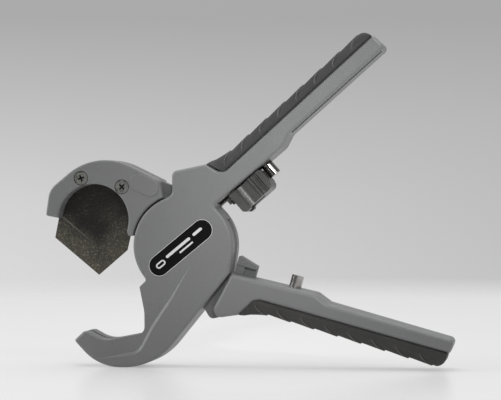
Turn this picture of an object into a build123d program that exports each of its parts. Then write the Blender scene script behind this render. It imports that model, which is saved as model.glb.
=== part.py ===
from build123d import *
from math import acos, atan2, cos, degrees, radians, sin, sqrt
import os

# A pipe cutter with two handles and one pivot, in millimetres, +Z up, seen from the front along +Y.
# Outlines are drawn about the pivot, x to the right and z up, and given thickness along Y.
# The handles are drawn in their own direction: u away from the pivot, w across, counter-clockwise of u.

# Driving dimensions
UPPER_ANGLE = 41.5
LOWER_ANGLE = -15.7
CLOSE_ANGLE = 52.5
LATCH_TRAVEL = 5.0
HUB_R = 26.0
BODY_HALF = 11.5
CHEEK_HALF = 10.0
CORE_HALF = 3.5
SLOT_HALF = 3.8
HOLLOW_DEPTH = 1.3
HOLLOW_TAPER = 50
HOLLOW_SLOPE = 0.07
HOLLOW_TOP = -11.0
HOLLOW_LEFT = -47.0
DISC_R = 21.5
DISC_GAP = 0.6
EDGE_ROUND = 1.6
LOWER_ROUND = 2.4
CHEEK_ROUND = 1.2
HUB_GAP = 0.9
TONGUE_SWEEP = (100.5, 170.5)
TANG_SWEEP = (-74.5, -20.5)

# Pivot
BOLT_R = 4.0
BOLT_HEAD_R = 5.2
BOLT_HEAD = 2.8
BUSH_PLAY = 0.05
BUSH_R = 5.5
WASHER_R = 9.0
WASHER = 0.7
NUT_ACROSS = 13.0
NUT_THICK = 4.0
NUT_POCKET_R = 8.3
NUT_SEAT = 7.0

# Return spring
COIL_R = 11.9
COIL_TURN = 300
WIRE_R = 0.8
SPRING_DEPTH = 5.0
SPRING_PIN_R = 1.2

# Nameplate
PLATE_LENGTH = 40.0
PLATE_WIDTH = 11.1
PLATE_DEPTH = 0.5
PLATE_SUNK = 0.1
PLATE_ANGLE = 39.4
PLATE_CENTRE = (-1.0, -1.0)

# Blade and holder
BLADE_HALF = 0.75
BLADE_SLOT_HALF = 1.5
BLADE_REACH = 71.2
RECESS_R = 18.6
RECESS_CENTRE = (-47.5, 13.3)
BLADE_SCREWS = [(-54.0, 34.9), (-32.3, 30.4)]
DOWELS = [(-17.0, 31.0), (-22.5, 26.0)]
DOWEL_R = 1.5
PAD_ENDS = [(-23.6, 32.7), (-17.3, 30.0)]
PAD_R = 4.6
PAD_HEIGHT = 0.5
BLADE_HEEL = (-70.3, 3.9)
BLADE_TIP = (-46.6, -15.6)
BLADE_TOE = (-31.4, -2.6)
GRIND_WIDTH = 11.0
EDGE_HALF = 0.06

# Grips: distances across each handle, measured outwards from its centre line
GRIP_HALF = BODY_HALF
RIB_HALF = 7.0
UPPER_SEAM = (14.0, 15.2)
UPPER_CREST = (20.9, 21.4)
UPPER_FRONT = (37.2, 23.3)
UPPER_START = 40.1
UPPER_END = 143.7
UPPER_RIB = (46, 138)
LOWER_SEAM = (16.0, 14.9)
LOWER_CREST = (22.7, 23.8)
LOWER_FRONT = (37.6, 26.1)
LOWER_START = 45.0
LOWER_END = 145.4
LOWER_RIB = (52, 140)
SEAM_PAST = 0.8

# Latch, along the upper handle
LATCH_START = 35.0
LATCH_END = 56.0
LATCH_HALF = 9.5
LATCH_TOP = 3.4
LATCH_BOTTOM = -8.0
CHANNEL_HALF = 5.0
CHANNEL_DEPTH = 11.5
CHANNEL_END = 57.0
PLATE_HALF = 6.6
PLATE_ENDS = (37.0, 54.0)
PLATE_LOW = 6.6
PLATE_HIGH = 8.2
KEY_HALF = 2.3
WINDOW_HALF = 4.6
SCOOP_U = 43.4
SCOOP_R = 5.2
SCOOP_DEPTH = 2.2
LATCH_GROOVES = [(48.6, 49.5), (50.2, 51.9), (52.4, 52.9)]
LEAF_HALF = 3.0
CATCH_START = 28.6
CATCH_HALF = 4.0
LATCH_SCREW_U = 51.0
LATCH_SCREW_LENGTH = 11.0
LATCH_SCREW_HEAD = 1.2
STUD_U = 59.3
LOWER_STUD_U = 60.5
STUD_R = 3.2
UPPER_STUD = 13.0
LOWER_STUD_SUNK = 8.0
LOWER_STUD_PROUD = 6.6

# Channel in the upper handle
INNER_GROOVE_SIDES = (-8.6, -3.4)

# Small screws
SCREW_R = 1.5
SCREW_HEAD_R = 2.9
SCREW_HEAD = 2.0
SCREW_SUNK = 0.6
BLADE_HEAD_R = 3.5
BLADE_HEAD_SUNK = 0.2
CROSS_LENGTH = 3.6
CROSS_WIDTH = 0.9
CROSS_DEPTH = 1.0


MIN_Z = (Align.CENTER, Align.CENTER, Align.MIN)
MAX_Z = (Align.CENTER, Align.CENTER, Align.MAX)


def outline(*corners):
    """A closed face with straight sides; each corner is (x, z, corner radius)."""
    points = [(x, z) for x, z, _ in corners]
    return make_face(FilletPolyline(*points, radius=[r for _, _, r in corners], close=True))


def disc(radius, centre=(0, 0)):
    return Pos(*centre) * Circle(radius)


def turned(face, angle):
    """A face drawn along a handle, turned into the handle's direction."""
    return Rot(0, 0, angle) * face


def slab(face, y_front, y_back):
    """The solid between two depths whose outline is the face."""
    return extrude(Plane.XZ.offset(-y_back) * face, y_back - y_front)


def wedge(start, end, radius):
    """A pie-shaped face about the pivot between two directions, in degrees."""
    step = (end - start) / 4
    directions = [radians(start + k * step) for k in range(5)]
    rim = [(radius * cos(direction), radius * sin(direction)) for direction in directions]
    return make_face(Polyline((0, 0), *rim, close=True))


def on_handle(u, w, angle):
    """The x and z of a point given along a handle."""
    return (
        u * cos(radians(angle)) - w * sin(radians(angle)),
        u * sin(radians(angle)) + w * cos(radians(angle)),
    )


def rounded_face(part, y, radius):
    """The part with the outer edges of its face at depth y rounded."""
    at_depth = part.faces().filter_by(Axis.Y).filter_by_position(Axis.Y, y - 0.01, y + 0.01)
    face = at_depth.sort_by(SortBy.AREA)[-1]
    return fillet(face.outer_wire().edges(), radius)


def rod(x, z, radius, y_front, y_back):
    return slab(disc(radius, (x, z)), y_front, y_back)


def cross_mark():
    return Rectangle(CROSS_LENGTH, CROSS_WIDTH) + Rectangle(CROSS_WIDTH, CROSS_LENGTH)


def screw(x, z, head_at, tip_at, head_r=SCREW_HEAD_R, turn=0):
    """A cross-head screw along Y, from the outside of its head to its tip."""
    way = 1 if tip_at > head_at else -1
    under = head_at + way * SCREW_HEAD
    head = rod(x, z, head_r, *sorted((head_at, under)))
    shank = rod(x, z, SCREW_R, *sorted((under, tip_at)))
    mark = Pos(x, z) * Rot(0, 0, turn) * cross_mark()
    return head + shank - slab(mark, *sorted((head_at, head_at + way * CROSS_DEPTH)))


def screw_room(x, z, head_at, tip_at, head_r=SCREW_HEAD_R):
    """The counterbore and hole that a screw sits in, open past its head."""
    way = 1 if tip_at > head_at else -1
    under = head_at + way * SCREW_HEAD
    bore = rod(x, z, head_r + 0.3, *sorted((head_at - way * 4, under)))
    return bore + rod(x, z, SCREW_R, *sorted((under, tip_at)))


BODY_SCREW_PLACES = [
    (-12.0, -48.0),
    (6.0, 34.0),
    on_handle(92, 10.5, UPPER_ANGLE),
    on_handle(138, 10.5, UPPER_ANGLE),
]
HANDLE_SCREW_PLACES = [
    on_handle(50, -12.5, LOWER_ANGLE),
    on_handle(92, -11.8, LOWER_ANGLE),
    on_handle(140, -11.8, LOWER_ANGLE),
]
SCREW_OUT = BODY_HALF - SCREW_SUNK
SCREW_TIP = -7.0


# Frame body

def rim_corner(start, end):
    """The corner whose rounding to the hub's radius follows the rim between two directions."""
    reach = HUB_R / cos(radians((end - start) / 2))
    middle = radians((start + end) / 2)
    return (reach * cos(middle), reach * sin(middle), HUB_R - 0.1)


def along_upper(u, w, radius):
    """An outline corner given along the upper handle."""
    return (*on_handle(u, w, UPPER_ANGLE), radius)


def body_outline():
    """The casting: hub, hook jaw with the step that stops the blade holder, neck and upper handle."""
    return outline(
        # hub rim beside the handles, and the arm's outer edge
        rim_corner(-8, 45),
        (24.3, -14.1, 2.5),
        # hook
        (-15.3, -62.9, 33),
        (-44.6, -62.9, 26),
        (-57.4, -49.2, 1.2),
        (-52.4, -44.6, 1.4),
        (-50.4, -44.6, 1.2),
        (-41.5, -49.4, 15),
        # throat and step
        (-20.2, -45.2, 4),
        (-20.3, -34.0, 20),
        (-22.9, -21.3, 0.8),
        (-19.2, -17.8, 1.5),
        # hub rim beside the blade holder
        rim_corner(166, 216),
        rim_corner(116, 166),
        # neck
        (-5.7, 26.15, 3.5),
        (-5.7, 38.3, 3),
        # upper handle
        along_upper(*UPPER_FRONT, 0.8),
        along_upper(UPPER_START, UPPER_SEAM[0], 5),
        along_upper(UPPER_END + SEAM_PAST, UPPER_SEAM[1], 1.2),
        along_upper(UPPER_END + 1.7, 6.7, 2.4),
        along_upper(79.5, 6.5, 5),
        along_upper(72.0, 3.7, 5),
        along_upper(25.75, 4.9, 2),
    )


def rib_outline(way, seam, crest, ends):
    """The rib of a handle that its grip saddles; way is +1 where outwards is counter-clockwise of u."""
    root = way * (min(seam) - 1)
    top = way * (crest[0] - 3)
    start, end = ends
    rib = outline((start, root, 0), (end, root, 0), (end, top, 1.5), (start, top, 1.5))
    return turned(rib, way_angle(way))


def way_angle(way):
    return UPPER_ANGLE if way > 0 else LOWER_ANGLE


def upper_rib():
    return rib_outline(1, UPPER_SEAM, UPPER_CREST, UPPER_RIB)


def lower_rib():
    return rib_outline(-1, LOWER_SEAM, LOWER_CREST, LOWER_RIB)


def core_slot():
    """The hub slot: the disc's room, and the ways out of it that the lever sweeps."""
    tongue_way = wedge(TONGUE_SWEEP[0], TONGUE_SWEEP[1] + CLOSE_ANGLE, 40)
    tang_way = wedge(TANG_SWEEP[0], TANG_SWEEP[1] + CLOSE_ANGLE, 60)
    return disc(DISC_R + DISC_GAP) + tongue_way + tang_way


def blade_slot():
    """The slot in the hook that the blade's edge closes into."""
    edge = outline((-51.5, -55.4, 0), (-11.0, -46.5, 0), (-13.5, -16.0, 0), (-75.0, -16.0, 0))
    return edge & disc(BLADE_REACH)


def arm_recess():
    """The hollow on the throat side of the hook arm, bounded by the long crease down the arm."""
    return outline(
        (6.0, -6.5, 2),
        (-6.0, -28.3, 40),
        (-15.5, -42.5, 40),
        (-22.5, -56.0, 9),
        (-44.0, -58.6, 2),
        (-64.0, -57.0, 0),
        (-64.0, -36.0, 0),
        (-28.0, -36.0, 0),
        (-28.0, -6.5, 0),
    )


def arm_hollow(side):
    """What the hollow takes off one face: it deepens down the arm and runs out at both ends."""
    outer = side * BODY_HALF
    face = Plane.XZ.offset(-outer) * arm_recess()
    cut = extrude(face, HOLLOW_DEPTH * side, dir=(0, -1, 0), taper=HOLLOW_TAPER)
    down = Plane(origin=(0, outer, HOLLOW_TOP), x_dir=(1, 0, 0), z_dir=(0, side, -HOLLOW_SLOPE))
    across = Plane(origin=(HOLLOW_LEFT, outer, 0), x_dir=(0, 0, 1), z_dir=(HOLLOW_SLOPE, side, 0))
    for limit in (down, across):
        cut &= limit * Box(200, 200, 20, align=MIN_Z)
    return cut


def torsion_path():
    """The spring's line: an open turn round the pivot, then a leg bent along the upper handle."""
    bend = Vector(*on_handle(26.5, 4.3, UPPER_ANGLE))
    leg_end = on_handle(33, 4.2, UPPER_ANGLE)
    bearing = degrees(atan2(bend.Y, bend.X))
    leaves = bearing - degrees(acos(COIL_R / bend.length))
    coil = CenterArc((0, 0), COIL_R, leaves - COIL_TURN, COIL_TURN)
    return coil + FilletPolyline(coil @ 1, bend, leg_end, radius=3)


def torsion_spring_room():
    return disc(COIL_R + 1.6) - disc(COIL_R - 1.6) + trace(torsion_path(), 2.6)


def half_shell(side):
    """Half of the casting: side is -1 for the front and +1 for the rear."""
    outer = side * BODY_HALF
    shell = slab(body_outline(), *sorted((0, outer)))
    shell = rounded_face(shell, outer, EDGE_ROUND)
    shell += slab(upper_rib(), *sorted((0, side * RIB_HALF)))
    shell -= slab(core_slot(), *sorted((0, side * SLOT_HALF)))
    shell -= slab(blade_slot(), *sorted((0, side * BLADE_SLOT_HALF)))
    channel = Pos((27 + CHANNEL_END) / 2, CHANNEL_DEPTH / 2) * Rectangle(CHANNEL_END - 27, CHANNEL_DEPTH)
    shell -= slab(turned(channel, UPPER_ANGLE), *sorted((0, side * CHANNEL_HALF)))
    low, high = PLATE_ENDS[0] - LATCH_TRAVEL - 4, PLATE_ENDS[1] + 2
    groove = Pos((low + high) / 2, (PLATE_LOW + PLATE_HIGH) / 2)
    groove *= Rectangle(high - low, PLATE_HIGH - PLATE_LOW + 0.6)
    shell -= slab(turned(groove, UPPER_ANGLE), *sorted((0, side * (PLATE_HALF + 0.3))))
    shell -= arm_hollow(side)
    shell -= rod(0, 0, BOLT_R, -BODY_HALF, BODY_HALF)
    stud = Plane(origin=stud_origin(), z_dir=upper_inward()) * Cylinder(STUD_R, 8, align=MIN_Z)
    return shell - stud


def upper_inward():
    """The direction from the upper handle towards the lower one."""
    return (sin(radians(UPPER_ANGLE)), 0, -cos(radians(UPPER_ANGLE)))


def stud_origin():
    x, z = on_handle(STUD_U, 9.5, UPPER_ANGLE)
    return (x, 0, z)


def front_body_shell():
    shell = half_shell(-1)
    shell -= slab(plate_face(), -BODY_HALF, -BODY_HALF + PLATE_DEPTH)
    head_top = -BODY_HALF + PLATE_DEPTH
    shell -= rod(0, 0, BOLT_HEAD_R, head_top, head_top + BOLT_HEAD)
    for x, z in BODY_SCREW_PLACES:
        shell -= rod(x, z, SCREW_R, SCREW_TIP, 0)
    return shell - slab(turned(inner_groove(), UPPER_ANGLE), *INNER_GROOVE_SIDES)


def inner_groove():
    """The channel cast into the handle's inner side, near its front."""
    return outline((80.5, 3.0, 0), (80.5, 9.6, 2), (UPPER_END - 1.5, 9.6, 2), (UPPER_END - 1.5, 3.0, 0))


def rear_body_shell():
    shell = half_shell(1)
    shell -= rod(0, 0, NUT_POCKET_R, NUT_SEAT, BODY_HALF)
    shell -= slab(torsion_spring_room(), SLOT_HALF, SPRING_DEPTH + WIRE_R + 0.2)
    for x, z in BODY_SCREW_PLACES:
        shell -= screw_room(x, z, SCREW_OUT, 0)
    return shell


def plate_face():
    return Pos(*PLATE_CENTRE) * Rot(0, 0, PLATE_ANGLE) * SlotOverall(PLATE_LENGTH, PLATE_WIDTH)


def nameplate():
    return slab(plate_face(), -BODY_HALF + PLATE_SUNK, -BODY_HALF + PLATE_DEPTH)


def pivot_bolt():
    head_top = -BODY_HALF + PLATE_DEPTH
    head = rod(0, 0, BOLT_HEAD_R, head_top, head_top + BOLT_HEAD)
    return head + rod(0, 0, BOLT_R, head_top + BOLT_HEAD, NUT_SEAT + NUT_THICK)


def pivot_nut():
    face = RegularPolygon(NUT_ACROSS / sqrt(3), 6) - disc(BOLT_R)
    return slab(face, NUT_SEAT, NUT_SEAT + NUT_THICK)


def body_screws():
    return [screw(x, z, SCREW_OUT, SCREW_TIP, turn=17 * k) for k, (x, z) in enumerate(BODY_SCREW_PLACES)]


def upper_stop_stud():
    return Plane(origin=stud_origin(), z_dir=upper_inward()) * Cylinder(STUD_R, UPPER_STUD, align=MIN_Z)


def latch_leaf_spring():
    """A bent strip in the channel's roof whose bump rests over the latch's plate."""
    strip = outline(
        (36, 10.7, 0),
        (56, 10.7, 0),
        (56, 11.3, 0),
        (36, 11.3, 0),
    )
    bump = outline(
        (38.3, 10.7, 0),
        (40.3, 8.8, 0.6),
        (42.3, 10.7, 0),
        (41.3, 10.8, 0),
        (40.3, 9.9, 0),
        (39.3, 10.8, 0),
    )
    return slab(turned(strip + bump, UPPER_ANGLE), -LEAF_HALF, LEAF_HALF)


def torsion_spring():
    path = Plane.XZ.offset(-SPRING_DEPTH) * torsion_path()
    return sweep(Plane(origin=path @ 0, z_dir=path % 0) * Circle(WIRE_R), path=path)


# Latch

def latch_thumb_slide():
    """The thumb button: a hollow block with a keyhole in its floor and scooped, ribbed sides."""
    block = outline(
        (LATCH_START, LATCH_TOP, 0.6),
        (LATCH_START, -7.4, 1.2),
        (LATCH_START + 1.6, LATCH_BOTTOM - 0.9, 1.2),
        (LATCH_START + 4.3, LATCH_BOTTOM - 0.9, 1.2),
        (LATCH_START + 4.6, LATCH_BOTTOM, 0.2),
        (LATCH_END - 1, LATCH_BOTTOM, 3),
        (LATCH_END, -4.0, 2.5),
        (LATCH_END, LATCH_TOP, 1.8),
    )
    button = slab(turned(block, UPPER_ANGLE), -LATCH_HALF, LATCH_HALF)
    hollow = outline((30, -5.6, 0), (48.2, -5.6, 0), (48.2, 1.2, 0), (30, 1.2, 0))
    button -= slab(turned(hollow, UPPER_ANGLE), -WINDOW_HALF, WINDOW_HALF)
    window = outline((30, -9, 0), (41, -9, 0), (41, -4, 0), (30, -4, 0))
    button -= slab(turned(window, UPPER_ANGLE), -WINDOW_HALF, WINDOW_HALF)
    keyway = outline((30, -9, 0), (48, -9, 0), (48, -4, 0), (30, -4, 0))
    button -= slab(turned(keyway, UPPER_ANGLE), -KEY_HALF, KEY_HALF)
    for side in (-1, 1):
        button -= latch_side_cuts(side)
    foot = outline(
        (32.0, LATCH_TOP - 0.5, 0.3),
        (32.0, -0.2, 0.4),
        (33.3, -0.2, 0.3),
        (33.3, 1.6, 0),
        (36.0, 1.6, 0),
        (36.0, LATCH_TOP - 0.5, 0),
    )
    button += slab(turned(foot, UPPER_ANGLE), -WINDOW_HALF - 1.4, -WINDOW_HALF)
    button += slab(turned(foot, UPPER_ANGLE), WINDOW_HALF, WINDOW_HALF + 1.4)
    root = LATCH_TOP - 0.5
    end = PLATE_ENDS[1]
    stem = outline((45.5, root, 0), (end, root, 0), (end, PLATE_LOW, 0), (45.5, PLATE_LOW, 0))
    button += slab(turned(stem, UPPER_ANGLE), -CHANNEL_HALF + 0.4, CHANNEL_HALF - 0.4)
    return button - latch_screw_shank(LATCH_SCREW_LENGTH)


def latch_side_cuts(side):
    """The scoop and the finger grooves in one side of the thumb button."""
    scoop_centre = side * (LATCH_HALF - SCOOP_DEPTH + SCOOP_R)
    x, z = on_handle(SCOOP_U, 0, UPPER_ANGLE)
    frame = Plane(origin=(x, scoop_centre, z), z_dir=upper_inward())
    cuts = frame * Cylinder(SCOOP_R, 40)
    for start, end in LATCH_GROOVES:
        groove = outline((start, LATCH_TOP + 1, 0), (start, -12, 0), (end, -12, 0), (end, LATCH_TOP + 1, 0))
        cuts += slab(turned(groove, UPPER_ANGLE), *sorted((side * (LATCH_HALF - 1.1), side * 20)))
    return cuts


def latch_slide_plate():
    start, end = PLATE_ENDS
    plate = outline((start, PLATE_LOW, 0), (end, PLATE_LOW, 0), (end, PLATE_HIGH, 0), (start, PLATE_HIGH, 0))
    return slab(turned(plate, UPPER_ANGLE), -PLATE_HALF, PLATE_HALF) - latch_screw_shank(LATCH_SCREW_LENGTH)


def latch_screw_shank(length, radius=SCREW_R, start=PLATE_HIGH):
    """A round bar along the latch's screw, from the given height towards the lower handle."""
    x, z = on_handle(LATCH_SCREW_U, start, UPPER_ANGLE)
    return Plane(origin=(x, 0, z), z_dir=upper_inward()) * Cylinder(radius, length, align=MIN_Z)


def latch_screw():
    head = latch_screw_shank(LATCH_SCREW_HEAD, 2.6, PLATE_HIGH + LATCH_SCREW_HEAD)
    return head + latch_screw_shank(LATCH_SCREW_LENGTH)


# Lever

def core_outline():
    """The hub disc, the tongue to the blade holder, and the tang inside the lower handle."""
    tongue = outline(
        (-4.0, 18.0, 0),
        (-6.2, 30.0, 0.5),
        (-6.2, 30.6, 0.5),
        (-12.5, 33.4, 1.5),
        (-25.0, 36.0, 2),
        (-26.6, 24.0, 1),
        (-26.6, 8.5, 1),
        (-20.0, 6.0, 0),
    )
    tang = turned(
        outline(
            (15, -4, 0),
            (27.2, -6.5, 0.5),
            (CATCH_START + 0.2, -6.5, 0),
            (68, -5.6, 0),
            (74, -9.0, 2),
            (104, -9.5, 2),
            (104, -14.6, 2),
            (44.5, -14.9, 3),
            (37.0, -25.4, 1),
            (23.0, -33.0, 3),
            (18.6, -28.8, 3),
            (8, -13, 0),
        ),
        LOWER_ANGLE,
    )
    return disc(DISC_R) + tongue + tang


def catch_solid():
    """The T-headed catch: a full-width post, a thin web and a slanting head."""
    back = CATCH_START
    post = outline((back, -10, 0), (back + 4.6, -10, 0), (back + 4.6, 0, 0), (back, 0, 0))
    web = outline((back, -10, 0), (back + 10.9, -10, 0), (back + 10.9, -1, 0), (back, -1, 0))
    head = outline(
        (back, -1.9, 0),
        (back + 10.5, -1.9, 0.5),
        (back + 10.7, -0.1, 0.5),
        (back + 0.1, 2.9, 0.5),
    )
    return (
        slab(turned(post, LOWER_ANGLE), -CORE_HALF, CORE_HALF)
        + slab(turned(web, LOWER_ANGLE), -1.75, 1.75)
        + slab(turned(head, LOWER_ANGLE), -CATCH_HALF, CATCH_HALF)
    )


def lever_core():
    core = slab(core_outline(), -CORE_HALF, CORE_HALF)
    core += catch_solid()
    core -= rod(0, 0, BUSH_R, -8, 8)
    for side in (-1, 1):
        core -= rod(0, 0, WASHER_R + 0.1, *sorted((side * (SLOT_HALF - WASHER), side * 8)))
    for x, z in DOWELS:
        core -= rod(x, z, DOWEL_R, -8, 8)
    core -= rod(*spring_pin_place(), SPRING_PIN_R, -8, 8)
    for x, z in HANDLE_SCREW_PLACES:
        core -= rod(x, z, SCREW_R, -8, 8)
    return core - stud_room()


def stud_room():
    return lower_stud_frame() * Cylinder(STUD_R, 2 * LOWER_STUD_SUNK)


def lower_stud_frame():
    """A frame at the foot of the lower stud, its Z towards the upper handle."""
    x, z = on_handle(LOWER_STUD_U, -5.6, LOWER_ANGLE)
    return Plane(origin=(x, 0, z), z_dir=(-sin(radians(LOWER_ANGLE)), 0, cos(radians(LOWER_ANGLE))))


def lower_stop_stud():
    stub = Cylinder(STUD_R, LOWER_STUD_SUNK, align=MAX_Z)
    top = Cylinder(STUD_R, LOWER_STUD_PROUD, align=MIN_Z)
    return lower_stud_frame() * (stub + top)


def spring_pin_place():
    """Just behind the spring's inner end, on its coil."""
    behind = Vector(*(torsion_path() @ 0)).rotate(Axis.Z, -degrees((SPRING_PIN_R + 0.1) / COIL_R))
    return (behind.X, behind.Y)


def spring_anchor_pin():
    return rod(*spring_pin_place(), SPRING_PIN_R, -CORE_HALF, SPRING_DEPTH + WIRE_R)


def pivot_bush():
    return slab(disc(BUSH_R) - disc(BOLT_R + BUSH_PLAY), -CORE_HALF, CORE_HALF)


def thrust_washers():
    face = disc(WASHER_R) - disc(BUSH_R + 0.05)
    inner = SLOT_HALF - WASHER
    outer = SLOT_HALF - 0.05
    return [slab(face, inner, outer), slab(face, -outer, -inner)]


def lower_outline():
    """The casting of the lower handle, along that handle."""
    return outline(
        (28.0, -6.9, 0.8),
        (72.5, -4.7, 5),
        (80.0, -7.6, 5),
        (LOWER_END + 1.7, -7.6, 2.6),
        (LOWER_END + SEAM_PAST, -LOWER_SEAM[1], 1.2),
        (LOWER_START, -LOWER_SEAM[0], 5),
        (LOWER_FRONT[0], -LOWER_FRONT[1], 1),
        (22.4, -32.9, 4),
    )


def lower_shell(side):
    outer = side * BODY_HALF
    shell = slab(turned(lower_outline(), LOWER_ANGLE), *sorted((0, outer)))
    shell = rounded_face(shell, outer, LOWER_ROUND)
    shell += slab(lower_rib(), *sorted((0, side * RIB_HALF)))
    shell -= slab(core_outline(), *sorted((0, side * CORE_HALF)))
    for x, z in HANDLE_SCREW_PLACES:
        if side > 0:
            shell -= screw_room(x, z, SCREW_OUT, 0)
        else:
            shell -= rod(x, z, SCREW_R, SCREW_TIP, 0)
    return shell - stud_room()


def lower_handle_front_shell():
    return lower_shell(-1)


def lower_handle_rear_shell():
    return lower_shell(1)


def handle_screws():
    return [screw(x, z, SCREW_OUT, SCREW_TIP, turn=23 * k) for k, (x, z) in enumerate(HANDLE_SCREW_PLACES)]


def blade_outline():
    return outline(
        (*BLADE_HEEL, 0.3),
        (*BLADE_TIP, 0.3),
        (*BLADE_TOE, 0.3),
        (-29.6, 5.5, 0),
        (-27.6, 33.0, 3),
        (-33.0, 38.5, 4),
        (-52.0, 40.5, 4),
        (-65.4, 27.0, 5),
    )


def grind(start, end, side):
    """What grinding takes off one side of the blade along a straight edge."""
    edge = Vector(end[0] - start[0], 0, end[1] - start[1])
    inward = edge.cross(Vector(0, -1, 0)).normalized() * -1
    frame = Plane(origin=(start[0], 0, start[1]), x_dir=inward, z_dir=edge.normalized())
    depth = 1 if frame.y_dir.Y * side > 0 else -1
    section = Polyline(
        (-2, depth * EDGE_HALF),
        (0, depth * EDGE_HALF),
        (GRIND_WIDTH, depth * BLADE_HALF),
        (GRIND_WIDTH, depth * 2),
        (-2, depth * 2),
        close=True,
    )
    return extrude(frame.offset(-20) * make_face(section), edge.length + 40)


def blade():
    plate = slab(blade_outline(), -BLADE_HALF, BLADE_HALF)
    for side in (-1, 1):
        plate -= grind(BLADE_HEEL, BLADE_TIP, side)
        plate -= grind(BLADE_TIP, BLADE_TOE, side)
    for x, z in BLADE_SCREWS:
        plate -= rod(x, z, SCREW_R, -8, 8)
    return plate


def cheek_outline():
    holder = outline(
        (-72.9, 15.5, 1.2),
        (-70.95, 29.05, 10),
        (-45.6, 49.9, 31),
        (-12.46, 33.9, 2.5),
        (-10.0, 21.5, 0),
        (-20.0, 5.5, 0),
        (-28.9, 4.9, 0.9),
        (-30.2, 8.6, 0),
        (-47.5, 13.3, 0),
        (-63.0, 13.6, 0),
    )
    return holder - disc(HUB_R + HUB_GAP) - disc(RECESS_R, RECESS_CENTRE)


def cheek(side):
    """One cheek of the blade holder, with its pocket for the core's tongue."""
    outer = side * CHEEK_HALF
    part = slab(cheek_outline(), *sorted((side * BLADE_HALF, outer)))
    part = rounded_face(part, outer, CHEEK_ROUND)
    part -= slab(core_outline(), *sorted((0, side * CORE_HALF)))
    for x, z in DOWELS:
        part -= rod(x, z, DOWEL_R, -7, 7)
    for x, z in BLADE_SCREWS:
        if side < 0:
            part -= screw_room(x, z, -CHEEK_HALF + BLADE_HEAD_SUNK, 0, BLADE_HEAD_R)
        else:
            part -= rod(x, z, SCREW_R, 0, CHEEK_HALF)
            part -= rod(x, z, 3.6, CHEEK_HALF - 2.8, CHEEK_HALF)
    return part


def blade_cheek_front():
    """The front cheek, with the raised pad by its end."""
    start, end = Vector(*PAD_ENDS[0]), Vector(*PAD_ENDS[1])
    middle = (start + end) / 2
    along = end - start
    face = Pos(middle.X, middle.Y) * Rot(0, 0, degrees(atan2(along.Y, along.X)))
    face *= SlotCenterToCenter(along.length, 2 * PAD_R)
    top = -CHEEK_HALF - PAD_HEIGHT
    pad = rounded_face(slab(face, top, -CHEEK_HALF + 1), top, PAD_HEIGHT * 0.8)
    return cheek(-1) + pad


def blade_cheek_rear():
    return cheek(1)


def blade_screws():
    head_at, tip_at = -CHEEK_HALF + BLADE_HEAD_SUNK, CHEEK_HALF - 0.6
    places = enumerate(BLADE_SCREWS)
    return [screw(x, z, head_at, tip_at, BLADE_HEAD_R, 20 + 25 * k) for k, (x, z) in places]


def blade_nuts():
    nut = RegularPolygon(5.5 / sqrt(3), 6) - disc(SCREW_R)
    return [slab(Pos(x, z) * nut, CHEEK_HALF - 2.8, CHEEK_HALF - 0.4) for x, z in BLADE_SCREWS]


def cheek_dowels():
    return [rod(x, z, DOWEL_R, -7, 7) for x, z in DOWELS]


# Grips

def grip(way, seam, crest, start, front, end):
    """A rubber saddle on a handle; way is +1 where outwards is counter-clockwise of u."""
    seam_end = seam[1] - (seam[1] - seam[0]) * SEAM_PAST / (end + SEAM_PAST - start)
    face = outline(
        (front[0], way * front[1], 0.8),
        (start, way * seam[0], 5),
        (end, way * seam_end, 0.4),
        (end - 0.2, way * (crest[1] - 4.5), 1),
        (end - 3.6, way * crest[1], 2.2),
        (start + 14, way * crest[0], 20),
    )
    return slab(turned(face, way_angle(way)), -GRIP_HALF, GRIP_HALF)


def upper_grip():
    saddle = grip(1, UPPER_SEAM, UPPER_CREST, UPPER_START, UPPER_FRONT, UPPER_END)
    return saddle - slab(upper_rib(), -RIB_HALF, RIB_HALF)


def lower_grip():
    saddle = grip(-1, LOWER_SEAM, LOWER_CREST, LOWER_START, LOWER_FRONT, LOWER_END)
    return saddle - slab(lower_rib(), -RIB_HALF, RIB_HALF)


NODES = [
    front_body_shell,
    rear_body_shell,
    upper_grip,
    nameplate,
    pivot_bolt,
    pivot_nut,
    body_screws,
    upper_stop_stud,
    latch_leaf_spring,
    torsion_spring,
    lever_core,
    pivot_bush,
    thrust_washers,
    spring_anchor_pin,
    lower_handle_front_shell,
    lower_handle_rear_shell,
    lower_grip,
    handle_screws,
    lower_stop_stud,
    blade,
    blade_cheek_front,
    blade_cheek_rear,
    blade_screws,
    blade_nuts,
    cheek_dowels,
    latch_thumb_slide,
    latch_slide_plate,
    latch_screw,
]

os.makedirs("parts", exist_ok=True)
pieces = {}
for make in NODES:
    made = make()
    solids = [s for piece in (made if isinstance(made, list) else [made]) for s in piece.solids()]
    pieces[make.__name__] = solids[0] if len(solids) == 1 else Compound(solids)

# The origin is under the middle of the whole tool, on the surface it stands on.
box = Compound(list(pieces.values())).bounding_box()
home = Pos(-(box.min.X + box.max.X) / 2, 0, -box.min.Z)
for name, piece in pieces.items():
    export_step(home * piece, f"parts/{name}.step")
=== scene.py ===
import math

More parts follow.
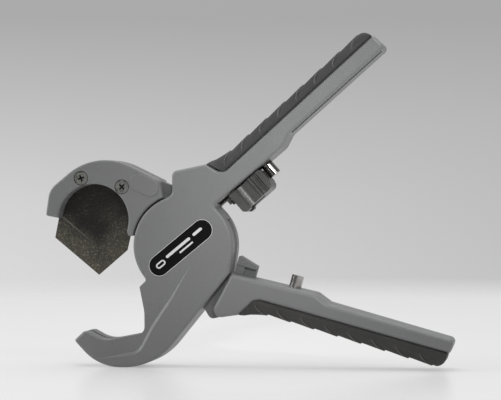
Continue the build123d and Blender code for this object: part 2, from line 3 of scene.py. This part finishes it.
import bpy
import bmesh
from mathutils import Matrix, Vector


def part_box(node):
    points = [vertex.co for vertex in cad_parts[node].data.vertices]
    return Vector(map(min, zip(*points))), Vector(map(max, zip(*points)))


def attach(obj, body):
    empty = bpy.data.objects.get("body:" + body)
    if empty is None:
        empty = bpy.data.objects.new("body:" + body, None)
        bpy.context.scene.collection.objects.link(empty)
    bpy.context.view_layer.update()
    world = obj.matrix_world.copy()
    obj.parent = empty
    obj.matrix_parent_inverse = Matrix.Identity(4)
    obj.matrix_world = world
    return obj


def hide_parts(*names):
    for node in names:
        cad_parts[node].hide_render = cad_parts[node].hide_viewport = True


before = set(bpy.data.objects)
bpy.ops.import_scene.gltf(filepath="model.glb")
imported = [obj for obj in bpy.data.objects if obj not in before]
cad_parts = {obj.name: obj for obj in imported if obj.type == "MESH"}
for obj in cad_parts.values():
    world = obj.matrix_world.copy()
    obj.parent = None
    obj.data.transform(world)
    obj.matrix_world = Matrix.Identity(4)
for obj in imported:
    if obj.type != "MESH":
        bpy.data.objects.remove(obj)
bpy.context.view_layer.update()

# A pipe cutter standing on a pale studio floor. Lengths are in metres; MM turns millimetres into metres.
MM = 0.001
UPPER_ANGLE = math.radians(41.5)
LOWER_ANGLE = math.radians(-15.7)

bolt_low, bolt_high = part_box("pivot_bolt")
HUB = Vector(((bolt_low.x + bolt_high.x) / 2, 0, (bolt_low.z + bolt_high.z) / 2))


def on_handle(u, w, y, angle):
    """A point given in millimetres along a handle, across it (counter-clockwise) and in depth."""
    along = Vector((math.cos(angle), 0, math.sin(angle)))
    across = Vector((-math.sin(angle), 0, math.cos(angle)))
    return HUB + (along * u + across * w) * MM + Vector((0, y * MM, 0))


def smoothstep(low, high, value):
    """0 below low, 1 above high, and a smooth change between them."""
    t = min(max((value - low) / (high - low), 0.0), 1.0)
    return t * t * (3 - 2 * t)


# Material building blocks

# Nearly all of a noise texture lies between these values
NOISE_LOW = 0.3
NOISE_HIGH = 0.7


class Shader:
    """A principled material with short ways to add the textures that drive it."""

    def __init__(self, name, roughness, metallic=0.0, specular=0.5, coat=0.0):
        self.material = bpy.data.materials.new(name)
        self.material.use_nodes = True
        self.tree = self.material.node_tree
        self.surface = self.tree.nodes["Principled BSDF"]
        self.surface.inputs["Roughness"].default_value = roughness
        self.surface.inputs["Metallic"].default_value = metallic
        self.surface.inputs["Specular IOR Level"].default_value = specular
        self.surface.inputs["Coat Weight"].default_value = coat
        self.place = self.tree.nodes.new("ShaderNodeTexCoord").outputs["Object"]

    def node(self, kind, inputs, **settings):
        made = self.tree.nodes.new(kind)
        for key, value in settings.items():
            setattr(made, key, value)
        for key, value in inputs.items():
            if isinstance(value, bpy.types.NodeSocket):
                self.tree.links.new(value, made.inputs[key])
            else:
                made.inputs[key].default_value = value
        return made

    def stretched(self, scale):
        return self.node("ShaderNodeMapping", {"Vector": self.place, "Scale": scale}).outputs[0]

    def noise(self, scale, detail=3.0, roughness=0.5, place=None):
        inputs = {"Vector": place or self.place, "Scale": scale, "Detail": detail, "Roughness": roughness}
        return self.node("ShaderNodeTexNoise", inputs).outputs["Fac"]

    def varied(self, scale, low, high, detail=3.0):
        """A value that wanders from low to high over the surface."""
        return self.ranged(self.noise(scale, detail), NOISE_LOW, NOISE_HIGH, low, high)

    def cells(self, scale):
        return self.node("ShaderNodeTexVoronoi", {"Vector": self.place, "Scale": scale}).outputs["Distance"]

    def ranged(self, value, low, high, to_low, to_high):
        inputs = {"Value": value, "From Min": low, "From Max": high, "To Min": to_low, "To Max": to_high}
        return self.node("ShaderNodeMapRange", inputs).outputs[0]

    def blend(self, factor, first, second):
        made = self.node("ShaderNodeMix", {}, data_type="RGBA")
        for key, value in ((0, factor), (6, first), (7, second)):
            if isinstance(value, bpy.types.NodeSocket):
                self.tree.links.new(value, made.inputs[key])
            else:
                made.inputs[key].default_value = value
        return made.outputs[2]

    def product(self, first, second):
        made = self.node("ShaderNodeMath", {0: first, 1: second}, operation="MULTIPLY")
        return made.outputs[0]

    def sum(self, first, second):
        return self.node("ShaderNodeMath", {0: first, 1: second}, operation="ADD").outputs[0]

    def axis(self, name):
        return self.node("ShaderNodeSeparateXYZ", {"Vector": self.place}).outputs[name]

    def attribute(self, name):
        return self.node("ShaderNodeAttribute", {}, attribute_name=name).outputs["Fac"]

    def colour(self, value):
        self.tree.links.new(value, self.surface.inputs["Base Color"])

    def roughness(self, value):
        self.tree.links.new(value, self.surface.inputs["Roughness"])

    def bump(self, height, depth):
        made = self.node("ShaderNodeBump", {"Height": height, "Distance": depth, "Strength": 1.0})
        self.tree.links.new(made.outputs[0], self.surface.inputs["Normal"])


def grey(value, warmth=0.0):
    """A linear colour of even grey, a little warmer or cooler."""
    return (value * (1 + warmth), value, value * (1 - warmth), 1.0)


def casting_paint(name, tone):
    """Satin powder coat over a zinc casting: fine orange peel, faint clouds and specks."""
    paint = Shader(name, roughness=0.42, specular=0.5)
    clouds = paint.varied(22, 0, 1, detail=4)
    base = paint.blend(clouds, grey(tone * 0.93, 0.01), grey(tone * 1.06, -0.012))
    specks = paint.ranged(paint.noise(1900, detail=2), 0.35, 0.65, 0, 1)
    paint.colour(paint.blend(specks, base, grey(tone * 1.12, -0.01)))
    paint.roughness(paint.varied(160, 0.36, 0.5))
    peel = paint.sum(paint.noise(650, detail=2), paint.product(paint.noise(2600, detail=1), 0.4))
    paint.bump(peel, 0.000018)
    return paint.material


def grip_rubber(name, tone, warmth):
    """Matt moulded rubber, painted paler along the scales' rims as a painted highlight."""
    rubber = Shader(name, roughness=0.6, specular=0.4)
    clouds = rubber.varied(60, 0, 1, detail=5)
    base = rubber.blend(clouds, grey(tone * 0.85, warmth), grey(tone * 1.12, warmth))
    # Painted highlight: the rims marked by rim_glint are painted up to 4.2 times paler, broken up by noise.
    rim_highlight = rubber.product(rubber.attribute("rim_glint"), rubber.ranged(rubber.noise(900), 0.35, 0.6, 0.35, 1))
    rubber.colour(rubber.blend(rim_highlight, base, grey(tone * 4.2, warmth)))
    rubber.roughness(rubber.varied(400, 0.5, 0.72))
    rubber.bump(rubber.sum(rubber.noise(2200, detail=3), rubber.product(rubber.cells(1500), 0.5)), 0.00006)
    return rubber.material


# The blade's point from the pivot, and the ways from it to the heel and to the toe, in millimetres
BLADE_TIP_X = -46.6
TO_HEEL = (-23.7, 19.5)
TO_TOE = (15.2, 13.0)

# Distances into the blade from its edges
GRIND_BAND = 11.0 * MM
GRIND_LINE = 0.6 * MM
PALE_EDGE = 3.0 * MM
DARK_INSIDE = 17.0 * MM
LINE_START = 12.0 * MM
LINE_FULL = 30.0 * MM


def blade_coat():
    """Coated blade steel: near black by the recess, partly the coating's tone and partly painted shade from
    the cheek, with a paler, speckled ground band along both edges and a painted highlight on the grind's
    ridge.
    """
    steel = Shader("blade_coat", roughness=0.5, metallic=0.35, specular=0.5)
    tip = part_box("blade")[0]
    corner = Vector((HUB.x + BLADE_TIP_X * MM, 0, tip.z))
    offset = steel.node("ShaderNodeVectorMath", {0: steel.place, 1: corner}, operation="SUBTRACT").outputs[0]

    def from_edge(along_x, along_z):
        """Distance into the blade from an edge that leaves the tip in a direction."""
        across = Vector((-along_z, 0, along_x)).normalized()
        if across.z < 0:
            across.negate()
        pair = {0: offset, 1: across}
        return steel.node("ShaderNodeVectorMath", pair, operation="DOT_PRODUCT").outputs["Value"]

    long_edge = from_edge(*TO_HEEL)
    short_edge = from_edge(*TO_TOE)
    wander = steel.ranged(steel.noise(60, detail=5), 0.25, 0.75, -0.3, 0.3)
    # Pale near the edges and near black far from them by the recess: partly the ground and coated steel's
    # tones, partly painted shade cast by the cheek.
    bands = [steel.ranged(edge, PALE_EDGE, DARK_INSIDE, 1, 0) for edge in (long_edge, short_edge)]
    band = steel.node("ShaderNodeMath", {0: bands[0], 1: bands[1]}, operation="MAXIMUM").outputs[0]
    paleness = steel.sum(band, wander)
    base = steel.blend(paleness, (0.0125, 0.0112, 0.01, 1), (0.068, 0.062, 0.048, 1))
    speckle = steel.noise(1100, detail=5, roughness=0.75)
    grain = steel.ranged(speckle, 0.5, 0.68, 0, 1)
    amount = steel.product(grain, steel.ranged(paleness, 0, 1, 0.08, 0.9))
    speckled = steel.blend(amount, base, (0.27, 0.25, 0.185, 1))
    strokes = steel.noise(1.0, place=steel.stretched((260, 40, 1900)))
    scratched = steel.blend(steel.ranged(strokes, 0.62, 0.72, 0, 0.4), speckled, (0.2, 0.19, 0.16, 1))
    # Painted highlight: a pale line on the grind's ridge, GRIND_BAND in from the long edge, stronger away
    # from the short edge.
    rise = steel.ranged(long_edge, GRIND_BAND - GRIND_LINE, GRIND_BAND, 0, 1)
    fall = steel.ranged(long_edge, GRIND_BAND, GRIND_BAND + GRIND_LINE, 1, 0)
    far = steel.ranged(short_edge, LINE_START, LINE_FULL, 0, 0.5)
    line = steel.product(steel.product(rise, fall), far)
    steel.colour(steel.blend(line, scratched, (0.26, 0.25, 0.21, 1)))
    steel.roughness(steel.ranged(grain, 0, 1, 0.55, 0.36))
    steel.bump(speckle, 0.00006)
    return steel.material


def turned_steel(name, dark, pale):
    """Turned steel with faint marks of machining, between a dark and a pale tone."""
    steel = Shader(name, roughness=0.16, metallic=1.0)
    marks = steel.varied(240, 0, 1)
    steel.colour(steel.blend(marks, grey(dark, 0.04), grey(pale, 0.04)))
    steel.roughness(steel.varied(500, 0.12, 0.22))
    steel.bump(steel.noise(300, detail=1), 0.000004)
    return steel.material


# How far behind its outer face a screw's recess and head side are fully dark, as painted shade, and how far
# behind it the face is still worn
RECESS_SHADE_DEPTH = 0.5 * MM
FACE_WORN = 0.15 * MM


def blackened_steel(name, outer=None):
    """Black oxide fasteners, pale with wear on their faces; deeper than an outer face they are held at the
    oxide's black, as painted shade in the cross recess and on the head's side.
    """
    steel = Shader(name, roughness=0.38, metallic=0.6)
    pale_share = steel.ranged(steel.noise(420, detail=4), 0.3, 0.55, 0, 1)
    if outer:
        # Painted shade: deeper than the outer face the pale wear fades out, so the cross recess and the
        # head's side stay black.
        depth = steel.node("ShaderNodeMath", {0: steel.axis("Y")}, operation="ABSOLUTE").outputs[0]
        face = steel.ranged(depth, outer - RECESS_SHADE_DEPTH, outer - FACE_WORN, 0, 1)
        pale_share = steel.product(face, steel.ranged(pale_share, 0, 1, 0.35, 1))
    steel.colour(steel.blend(pale_share, (0.014, 0.0142, 0.013, 1), (0.25, 0.255, 0.235, 1)))
    steel.roughness(steel.ranged(pale_share, 0, 1, 0.55, 0.34))
    steel.bump(steel.noise(1800, detail=3), 0.00002)
    return steel.material


def latch_plastic():
    """Dark, satin moulded plastic."""
    plastic = Shader("latch_plastic", roughness=0.36, specular=0.5)
    clouds = plastic.varied(130, 0, 1)
    plastic.colour(plastic.blend(clouds, (0.05, 0.05, 0.047, 1), (0.075, 0.074, 0.07, 1)))
    plastic.roughness(plastic.varied(800, 0.3, 0.44))
    plastic.bump(plastic.noise(1400, detail=2), 0.00002)
    return plastic.material


def plate_black():
    """Printed black plate."""
    black = Shader("plate_black", roughness=0.35, specular=0.15)
    black.colour(black.blend(black.noise(300), (0.0015, 0.0015, 0.0016, 1), (0.004, 0.004, 0.004, 1)))
    black.roughness(black.varied(900, 0.3, 0.45))
    black.bump(black.noise(2500), 0.000008)
    return black.material


def plate_ink():
    """Pale printing on the plate."""
    ink = Shader("plate_ink", roughness=0.5)
    ink.colour(ink.blend(ink.noise(1200), grey(0.62), grey(0.78)))
    ink.bump(ink.noise(3000), 0.000008)
    return ink.material


def bearing_bronze():
    """Sintered bronze of the bush and washers."""
    bronze = Shader("bearing_bronze", roughness=0.35, metallic=1.0)
    bronze.colour(bronze.blend(bronze.noise(300), (0.42, 0.29, 0.14, 1), (0.55, 0.4, 0.2, 1)))
    bronze.roughness(bronze.varied(900, 0.3, 0.45))
    return bronze.material


CASTING = casting_paint("casting_paint", 0.18)
CORE_PAINT = casting_paint("core_paint", 0.15)
STEEL = turned_steel("turned_steel", 0.29, 0.425)
# The upper stop stud gets a darker copy of the turned steel: a painted dark reflection of the dim room.
DARK_REFLECTION_STEEL = turned_steel("stud_steel_painted_dark", 0.1, 0.19)
BLACK_STEEL = blackened_steel("blackened_steel")
BLADE_SCREW_STEEL = blackened_steel("blade_screw_steel", -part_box("blade_screws")[0].y)
BACK_SCREW_STEEL = blackened_steel("back_screw_steel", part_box("body_screws")[1].y)
LATCH = latch_plastic()
BRONZE = bearing_bronze()

NODE_MATERIALS = {
    "front_body_shell": CASTING,
    "rear_body_shell": CASTING,
    "lower_handle_front_shell": CASTING,
    "lower_handle_rear_shell": CASTING,
    "blade_cheek_front": CASTING,
    "blade_cheek_rear": CASTING,
    "lever_core": CORE_PAINT,
    "blade": blade_coat(),
    "nameplate": plate_black(),
    "pivot_bolt": STEEL,
    "pivot_nut": BLACK_STEEL,
    "body_screws": BACK_SCREW_STEEL,
    "handle_screws": BACK_SCREW_STEEL,
    "blade_screws": BLADE_SCREW_STEEL,
    "blade_nuts": BLACK_STEEL,
    "latch_screw": BLACK_STEEL,
    "upper_stop_stud": DARK_REFLECTION_STEEL,
    "lower_stop_stud": STEEL,
    "latch_leaf_spring": STEEL,
    "latch_slide_plate": STEEL,
    "torsion_spring": BLACK_STEEL,
    "spring_anchor_pin": STEEL,
    "cheek_dowels": STEEL,
    "pivot_bush": BRONZE,
    "thrust_washers": BRONZE,
    "latch_thumb_slide": LATCH,
}


EDGE_BEVEL = 0.15 * MM
BEVEL_ANGLE = math.radians(35)


def dress(obj, material, sharp=28):
    """Gives an object its one material, and smooth faces up to an angle in degrees."""
    obj.data.materials.clear()
    obj.data.materials.append(material)
    for face in obj.data.polygons:
        face.material_index = 0
    obj.data.shade_smooth()
    obj.data.set_sharp_from_angle(angle=math.radians(sharp))


for node_name, node_material in NODE_MATERIALS.items():
    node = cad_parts[node_name]
    dress(node, node_material)
    if node_name == "latch_thumb_slide":
        bevel = node.modifiers.new("worn_edges", "BEVEL")
        bevel.width = EDGE_BEVEL
        bevel.segments = 2
        bevel.limit_method = "ANGLE"
        bevel.angle_limit = BEVEL_ANGLE
    weighted = node.modifiers.new("flat_faces", "WEIGHTED_NORMAL")
    weighted.keep_sharp = True


def piece_from(name, mesh_edit, material, body, sharp=28):
    """A new object whose mesh is filled by mesh_edit, riding on a body."""
    mesh = bpy.data.meshes.new(name)
    made = bmesh.new()
    mesh_edit(made)
    bmesh.ops.recalc_face_normals(made, faces=made.faces)
    made.to_mesh(mesh)
    made.free()
    obj = bpy.data.objects.new(name, mesh)
    bpy.context.scene.collection.objects.link(obj)
    dress(obj, material, sharp)
    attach(obj, body)
    return obj


# Grips: rubber saddles with overlapping scales

# Lengths in millimetres. The scales stand on the crest and fade out down the sides and at both ends.
SCALE_PITCH = 12.6
SCALE_DEPTH = 0.75
SCALE_TRAIL = 7.5
SCALE_SIDE = 0.7
GRIP_HALF = 11.5
GRIP_CORNER = 4.5
CORNER_SHARE = 0.6
LEAST_CORNER = 0.05
SIDE_START = 2.0

# The smooth band above the seam, and the groove in it
BAND_WIDTH = 2.2
BAND_STEP = 0.3
BAND_EDGE = 0.5
SEAM_GROOVE = 0.7
GROOVE_ENDS = (0.35, 0.6)

# The front end, where the seam bends and the crest falls, and the rounded rear end
FRONT_SETTLE = 5.0
FRONT_BEND = 2.6
FRONT_FALL = 16
END_ROUND = 5.8
END_LIMIT = 0.98
END_GAP = 0.05

# Where along the front and rear ends the scales and their trailing sides begin and stop
SCALES_RISE, SCALES_FALL = (2, 6), (6, 3)
TRAIL_RISE, TRAIL_FALL = (1, 16), (5, 2)

# Distances from the crest's middle over which the scales fade and their sides trail
SCALES_FADE = (GRIP_HALF + 0.5, GRIP_HALF + 3.5)
TRAIL_BEND = (6.5, GRIP_HALF + 3.0)

# Parts of a scale's pitch: its slope, its drop, and the two sides of its rim, where a highlight is painted
SLOPE_END = 0.93
DROP = (0.955, 0.995)
RIM_RISE = (0.9, 0.945)
RIM_FALL = (0.95, 0.975)

# The channel that sits over the handle's rib
RIB_HALF = 7.0
RIB_COVER = 1.5
RIB_GAP = 0.02

# How finely the grip is divided
SECTION_SIDE = 14
SECTION_CORNER = 10
SECTION_TOP = 28
FRONT_CLOSE = 9.0
FRONT_STATIONS = 40
FRONT_SPREAD = 1.5
SCALE_STATIONS = 40


class Grip:
    """One grip: where its seam, crest and ends lie, in millimetres along and across its handle."""

    def __init__(self, name, angle, way, seam, crest, start, front, end, first_scale, rib):
        self.name, self.angle, self.way = name, angle, way
        self.seam, self.crest, self.start, self.front, self.end = seam, crest, start, front, end
        self.first_scale = first_scale
        self.rib_start, self.rib_end, self.rib_top = rib

    def low(self, u):
        """The seam's height: steep at the front end, then a bend into the straight seam."""
        reach = self.front[1] - self.seam[0]
        t = (u - self.front[0]) / (self.start + FRONT_SETTLE - self.front[0])
        return self.along(self.seam, u) + reach * max(0.0, 1 - t) ** FRONT_BEND

    def along(self, ends, u):
        """A height that changes evenly from the straight seam's start to the grip's end."""
        part = min(max((u - self.start) / (self.end - self.start), 0.0), 1.0)
        return ends[0] + (ends[1] - ends[0]) * part

    def high(self, u):
        """The crest's height, falling to the straight crest at the front and rounded at the end."""
        crest = self.along(self.crest, u)
        fall = (self.front[1] - crest) * (1 - smoothstep(self.front[0], self.front[0] + FRONT_FALL, u))
        back = max(0.0, (u - (self.end - END_ROUND)) / END_ROUND)
        return crest + fall - END_ROUND * (1 - math.sqrt(1 - min(back, END_LIMIT) ** 2))

    def section(self, u):
        """The outer line of the cross-section: (height, depth, distance from the crest's middle)."""
        low, high = self.low(u), self.high(u)
        corner = min(GRIP_CORNER, max(LEAST_CORNER, (high - low) * CORNER_SHARE))
        half = [(high, (GRIP_HALF - corner) * k / SECTION_TOP) for k in range(SECTION_TOP)]
        for k in range(SECTION_CORNER):
            turn = math.pi / 2 * k / SECTION_CORNER
            depth = GRIP_HALF - corner + corner * math.sin(turn)
            half.append((high - corner + corner * math.cos(turn), depth))
        side_top = high - corner
        for k in range(SECTION_SIDE + 1):
            half.append((side_top + (low - side_top) * k / SECTION_SIDE, GRIP_HALF))
        line, travelled = [], 0.0
        for k, (height, depth) in enumerate(half):
            if k:
                travelled += math.hypot(height - half[k - 1][0], depth - half[k - 1][1])
            rise = height - low
            inset = BAND_STEP * smoothstep(BAND_WIDTH, BAND_WIDTH + BAND_EDGE, rise)
            inset += SEAM_GROOVE * (1 - smoothstep(*GROOVE_ENDS, rise))
            inset *= smoothstep(GRIP_HALF - SIDE_START, GRIP_HALF, depth)
            line.append((height, depth - inset, travelled))
        return line

    def presence(self, u, rise, fall):
        """0 at both ends of the grip and 1 between them, with soft changes."""
        start = self.front[0]
        entry = smoothstep(start + rise[0], start + rise[1], u)
        return entry * (1 - smoothstep(self.end - fall[0], self.end - fall[1], u))

    def scale(self, u, travelled):
        """(how far the scales stand out, how much painted highlight their rim gets) at a place on the grip.
        """
        phase = ((u - self.first_scale) / SCALE_PITCH) % 1.0
        strength = 1 - smoothstep(*SCALES_FADE, travelled)
        strength *= self.presence(u, SCALES_RISE, SCALES_FALL)
        rise = min(1.0, phase / SLOPE_END) * (1 - smoothstep(*DROP, phase))
        rim = smoothstep(*RIM_RISE, phase) * (1 - smoothstep(*RIM_FALL, phase))
        return strength * (rise - 1) * SCALE_DEPTH, strength * rim

    def stations(self):
        """Places along the grip, close together where the front end is steep."""
        start = self.front[0]
        close = [start + FRONT_CLOSE * (k / FRONT_STATIONS) ** FRONT_SPREAD for k in range(FRONT_STATIONS)]
        step = SCALE_PITCH / SCALE_STATIONS
        count = int((self.end - start - FRONT_CLOSE) / step)
        even = [start + FRONT_CLOSE + step * k for k in range(count)]
        return close + even + [self.end - END_GAP]

    def loop(self, u):
        """One closed cross-section as [(u, height, depth, rim_glint)], over the crest and back round the
        rib; rim_glint is the share of painted highlight.
        """
        half = []
        trail = self.presence(u, TRAIL_RISE, TRAIL_FALL)
        for height, depth, travelled in self.section(u):
            out, pale_share = self.scale(u, travelled)
            back = SCALE_TRAIL * smoothstep(*TRAIL_BEND, travelled) * trail
            side = smoothstep(0, GRIP_CORNER, depth - (GRIP_HALF - GRIP_CORNER)) * SCALE_SIDE
            half.append((u - back, height + out * (1 - side), depth + out * side, pale_share))
        low = self.low(u)
        inside = self.rib_start < u < self.rib_end
        roof = min(self.rib_top, self.high(u) - RIB_COVER) if inside else low + RIB_GAP
        corners = ((low, RIB_HALF), (roof, RIB_HALF), (roof, -RIB_HALF), (low, -RIB_HALF))
        channel = [(u, height, depth, 0) for height, depth in corners]
        front = [(a, b, -c, d) for a, b, c, d in reversed(half)]
        return front + half[1:] + channel

    def build(self, made):
        rim_glint = made.verts.layers.float.new("rim_glint")
        rings = []
        for u in self.stations():
            ring = []
            for along, height, depth, pale_share in self.loop(u):
                vert = made.verts.new(on_handle(along, self.way * height, depth, self.angle))
                vert[rim_glint] = pale_share
                ring.append(vert)
            rings.append(ring)
        for first, second in zip(rings, rings[1:]):
            for k in range(len(first)):
                after = (k + 1) % len(first)
                made.faces.new((first[k], first[after], second[after], second[k]))
        made.faces.new(rings[0])
        made.faces.new(reversed(rings[-1]))

    def make(self, material):
        grip = piece_from(self.name + "_rubber", self.build, material, self.body(), sharp=40)
        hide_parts(self.name)

    def body(self):
        return "frame" if self.name == "upper_grip" else "lever"


Grip(
    "upper_grip", UPPER_ANGLE, 1, seam=(14.0, 15.2), crest=(20.5, 21.1), start=40.1, front=(37.3, 23.2),
    end=143.6, first_scale=51.3, rib=(46, 138, 17.9),
).make(grip_rubber("upper_rubber", 0.036, 0.0))
Grip(
    "lower_grip", LOWER_ANGLE, -1, seam=(16.0, 14.9), crest=(22.4, 23.5), start=45.0, front=(37.7, 26.0),
    end=145.3, first_scale=51.7, rib=(52, 140, 19.7),
).make(grip_rubber("lower_rubber", 0.042, 0.035))


# Nameplate printing: a border, an open capsule and plain bars

PLATE_ANGLE = math.radians(39.4)
PLATE_LENGTH = 40.0
PLATE_WIDTH = 11.1
PLATE_CENTRE = (-1.0, -1.0)
INK_THICK = 0.05
ROUND_STEPS = 24
BORDER_GAPS = (0.1, 0.6)
TAG_X = -13.4
TAG_OUTER = (5.6, 3.0)
TAG_INNER = (4.0, 1.4)

# Bars as (length, width, x, z)
BARS = [(16.0, 1.5, -1.0, 0.9), (6.0, 1.5, 12.0, 0.9), (9.0, 0.9, 2.5, -1.7)]


def on_plate(x, z, depth):
    """A point on the nameplate, in millimetres along it, across it and in front of its face."""
    along = Vector((math.cos(PLATE_ANGLE), 0, math.sin(PLATE_ANGLE)))
    across = Vector((-math.sin(PLATE_ANGLE), 0, math.cos(PLATE_ANGLE)))
    centre = HUB + Vector((PLATE_CENTRE[0], 0, PLATE_CENTRE[1])) * MM
    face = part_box("nameplate")[0].y
    return centre + (along * x + across * z) * MM + Vector((0, face - HUB.y - depth * MM, 0))


def capsule_line(length, width, x=0.0, z=0.0):
    """Points round a capsule."""
    radius = width / 2
    straight = length / 2 - radius
    points = []
    for side in (1, -1):
        for k in range(ROUND_STEPS + 1):
            turn = -math.pi / 2 + math.pi * k / ROUND_STEPS
            reach = straight + radius * math.cos(turn)
            points.append((x + side * reach, z + side * radius * math.sin(turn)))
    return points


def print_band(made, outer, inner):
    """A thin raised band between two lines with as many points, or a solid patch where inner is None."""
    rows = [(line, depth) for line in (outer, inner) if line for depth in (0.0, INK_THICK)]
    verts = [[made.verts.new(on_plate(x, z, depth)) for x, z in line] for line, depth in rows]
    count = len(outer)
    if inner is None:
        made.faces.new(verts[1])
        made.faces.new(reversed(verts[0]))
        sides = [(verts[0], verts[1])]
    else:
        sides = [(verts[0], verts[1]), (verts[1], verts[3]), (verts[3], verts[2]), (verts[2], verts[0])]
    for first, second in sides:
        for k in range(count):
            after = (k + 1) % count
            made.faces.new((first[k], first[after], second[after], second[k]))


def print_marks(made):
    border = [capsule_line(PLATE_LENGTH - gap, PLATE_WIDTH - gap) for gap in BORDER_GAPS]
    print_band(made, *border)
    print_band(made, capsule_line(*TAG_OUTER, TAG_X), capsule_line(*TAG_INNER, TAG_X))
    for bar in BARS:
        print_band(made, capsule_line(*bar), None)


piece_from("nameplate_marks", print_marks, plate_ink(), "frame")


# Floor, light and camera

OBJECT_DISTANCE = 1.0
FLOOR_SHOWN = 0.94
FLOOR_FADE = 0.22
FLOOR_GLOW = 0.3
CAMERA_AZIMUTH = math.radians(9)
VIEW_WIDTH = 0.2605
SIGHT = (0.0332, 0.0236)
SENSOR = 36.0
ROOM_TONE = 0.22
LOWEST_SHOWN = -0.06

# The sweep's tones from the horizon upwards, as (height, tone), on the right and on the left
RIGHT_SWEEP = [(0.0, 0.57), (0.057, 0.521), (0.096, 0.479), (0.145, 0.395), (0.3, 0.42), (1.0, 0.9)]
LEFT_SWEEP = [(0.0, 0.72), (0.057, 0.645), (0.096, 0.539), (0.145, 0.407), (0.3, 0.42), (1.0, 0.9)]

# What the lights aim at
TOOL_MIDDLE = Vector((0, 0, 0.08))
HANDLE_MIDDLE = HUB + Vector((0.06, 0, 0.048))
SPOT_SOFTNESS = 0.04

view_right = Vector((math.cos(CAMERA_AZIMUTH), math.sin(CAMERA_AZIMUTH), 0))
view_back = Vector((math.sin(CAMERA_AZIMUTH), -math.cos(CAMERA_AZIMUTH), 0))
sight_point = HUB + view_right * SIGHT[0] + Vector((0, 0, SIGHT[1]))


def make_floor():
    """A round pale floor that fades out at its rim."""
    mesh = bpy.data.meshes.new("floor")
    made = bmesh.new()
    bmesh.ops.create_circle(made, cap_ends=True, segments=96, radius=FLOOR_SHOWN + FLOOR_FADE)
    made.to_mesh(mesh)
    made.free()
    floor = bpy.data.objects.new("floor", mesh)
    bpy.context.scene.collection.objects.link(floor)
    shader = Shader("floor_paint", roughness=0.22, specular=0.25)
    shader.colour(shader.blend(shader.noise(6), grey(0.5), grey(0.52)))
    shader.surface.inputs["Emission Color"].default_value = grey(1.0)
    shader.surface.inputs["Emission Strength"].default_value = FLOOR_GLOW
    distance = shader.node("ShaderNodeVectorMath", {0: shader.place}, operation="LENGTH").outputs["Value"]
    fade = shader.ranged(distance, FLOOR_SHOWN - FLOOR_FADE, FLOOR_SHOWN + FLOOR_FADE, 1, 0)
    shader.tree.links.new(fade, shader.surface.inputs["Alpha"])
    mesh.materials.append(shader.material)


def make_world():
    """A grey sweep behind the tool, darker upwards and paler to the left, and a dim room before it."""
    world = bpy.data.worlds.new("studio")
    bpy.context.scene.world = world
    world.use_nodes = True
    tree = world.node_tree

    def ranged(value, low, high, to_low, to_high):
        made = tree.nodes.new("ShaderNodeMapRange")
        tree.links.new(value, made.inputs["Value"])
        for key, number in zip(("From Min", "From Max", "To Min", "To Max"), (low, high, to_low, to_high)):
            made.inputs[key].default_value = number
        return made.outputs[0]

    def mixed(factor, first, second):
        made = tree.nodes.new("ShaderNodeMix")
        made.data_type = "RGBA"
        tree.links.new(first, made.inputs[6])
        if isinstance(second, bpy.types.NodeSocket):
            tree.links.new(second, made.inputs[7])
        else:
            made.inputs[7].default_value = second
        tree.links.new(factor, made.inputs[0])
        return made.outputs[2]

    def sweep(stops):
        made = tree.nodes.new("ShaderNodeValToRGB")
        tree.links.new(height, made.inputs[0])
        while len(made.color_ramp.elements) < len(stops):
            made.color_ramp.elements.new(0.5)
        for element, (position, tone) in zip(made.color_ramp.elements, stops):
            element.position = position
            element.color = grey(tone)
        return made.outputs[0]

    place = tree.nodes.new("ShaderNodeTexCoord").outputs["Generated"]
    split = tree.nodes.new("ShaderNodeSeparateXYZ")
    tree.links.new(place, split.inputs[0])
    height = ranged(split.outputs["Z"], LOWEST_SHOWN, 1.0, 0, 1)
    right = sweep(RIGHT_SWEEP)
    left = sweep(LEFT_SWEEP)
    backdrop = mixed(ranged(split.outputs["X"], -0.28, -0.03, 1, 0), right, left)
    behind_camera = ranged(split.outputs["Y"], 0.1, -0.6, 0, 1)
    colour = mixed(behind_camera, backdrop, grey(ROOM_TONE))
    tree.links.new(colour, tree.nodes["Background"].inputs["Color"])


def place_light(data, name, place, target, power):
    data.energy = power
    light = bpy.data.objects.new(name, data)
    light.location = place
    light.rotation_euler = (target - light.location).to_track_quat("-Z", "Y").to_euler()
    light.visible_camera = False
    bpy.context.scene.collection.objects.link(light)


def soft_box(name, place, size, power):
    """A square soft box aimed at the middle of the tool."""
    data = bpy.data.lights.new(name, "AREA")
    data.size = size
    place_light(data, name, place, TOOL_MIDDLE, power)


def soft_spot(name, place, target, spread, power):
    """A pool of light with a wide soft edge, its spread in degrees."""
    data = bpy.data.lights.new(name, "SPOT")
    data.spot_size = math.radians(spread)
    data.spot_blend = 1.0
    data.shadow_soft_size = SPOT_SOFTNESS
    place_light(data, name, place, target, power)


def make_camera():
    """A level camera a little to the right of the tool's front."""
    data = bpy.data.cameras.new("camera")
    data.sensor_width = SENSOR
    data.lens = SENSOR * OBJECT_DISTANCE / VIEW_WIDTH
    camera = bpy.data.objects.new("camera", data)
    camera.location = sight_point + view_back * OBJECT_DISTANCE
    camera.rotation_euler = (-view_back).to_track_quat("-Z", "Y").to_euler()
    bpy.context.scene.collection.objects.link(camera)
    bpy.context.scene.camera = camera


make_floor()
make_world()
soft_spot("handle_spot", Vector((0.25, -0.9, 0.5)), HANDLE_MIDDLE, 12, 22)
soft_box("key_box", Vector((0.5, -0.6, 0.7)), 0.2, 1.4)
soft_box("left_box", Vector((-0.9, -0.25, 0.45)), 0.4, 3.4)
soft_box("top_box", Vector((0.1, 0.1, 1.4)), 1.2, 9)
make_camera()
bpy.context.scene.view_settings.view_transform = "Standard"
